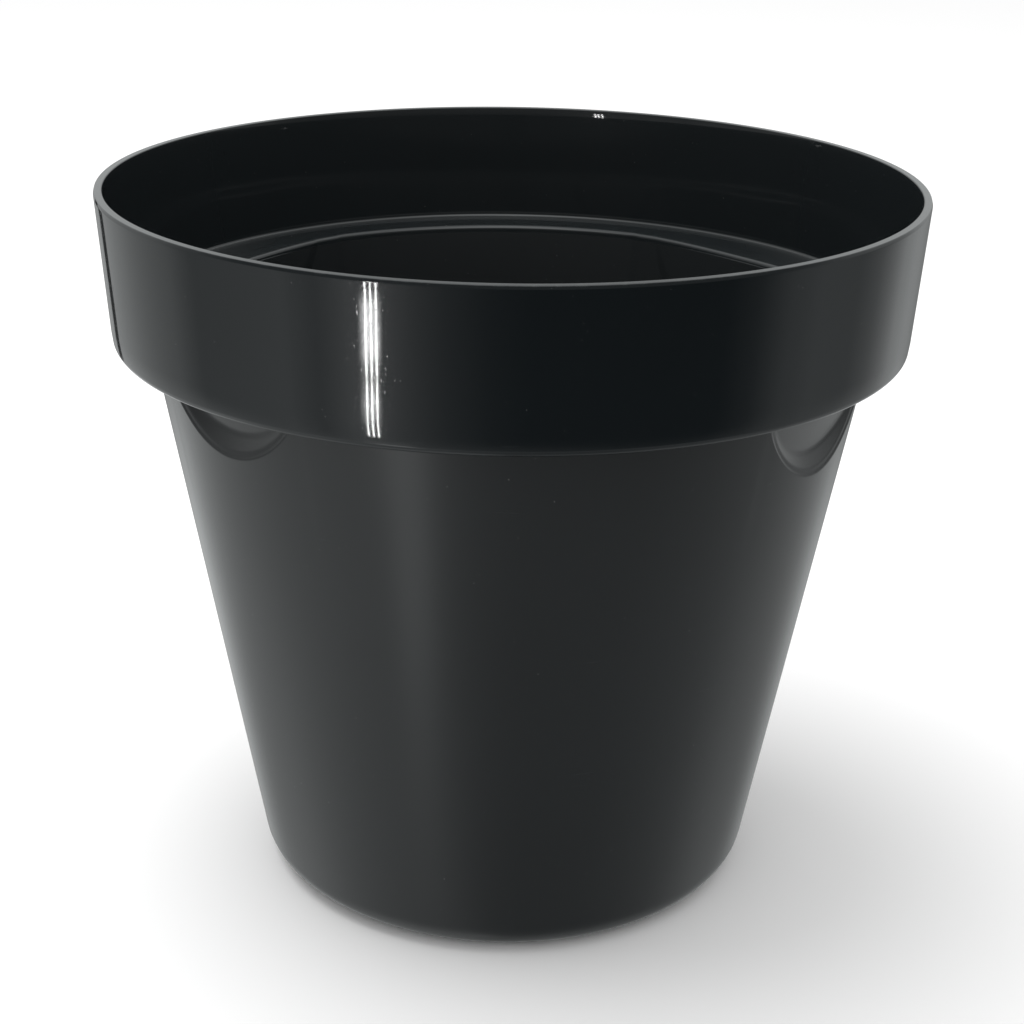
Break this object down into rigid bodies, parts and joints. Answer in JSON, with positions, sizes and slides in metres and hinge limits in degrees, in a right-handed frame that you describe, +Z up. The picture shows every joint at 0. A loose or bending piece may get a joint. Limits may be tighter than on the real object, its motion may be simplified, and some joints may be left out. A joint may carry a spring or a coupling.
{
  "type": "florist bucket",
  "caption": "Tapered round flower bucket in glossy black plastic, with a deep collar, an inner step below it, finger recesses under the collar and a closed base.",
  "frame": {"origin": "centre of the plane that the bucket stands on, on its own axis", "axes": "+Z up along the bucket's axis through the mouth, -Y to the front between two finger recesses, +X to the right"},
  "size_m": [0.3, 0.3, 0.2675],
  "materials": {
    "collar_plastic": "black, high gloss, light handling scratches",
    "body_plastic": "black, soft gloss"
  },
  "bodies": {
    "root": {"rim_lip": "collar_plastic", "collar_wall": "collar_plastic", "step_ledge": "collar_plastic", "collar_skirt": "collar_plastic", "grip_wall": "body_plastic", "side_wall": "body_plastic", "base_corner": "body_plastic", "base_panel": "body_plastic"}
  },
  "joints": []
}
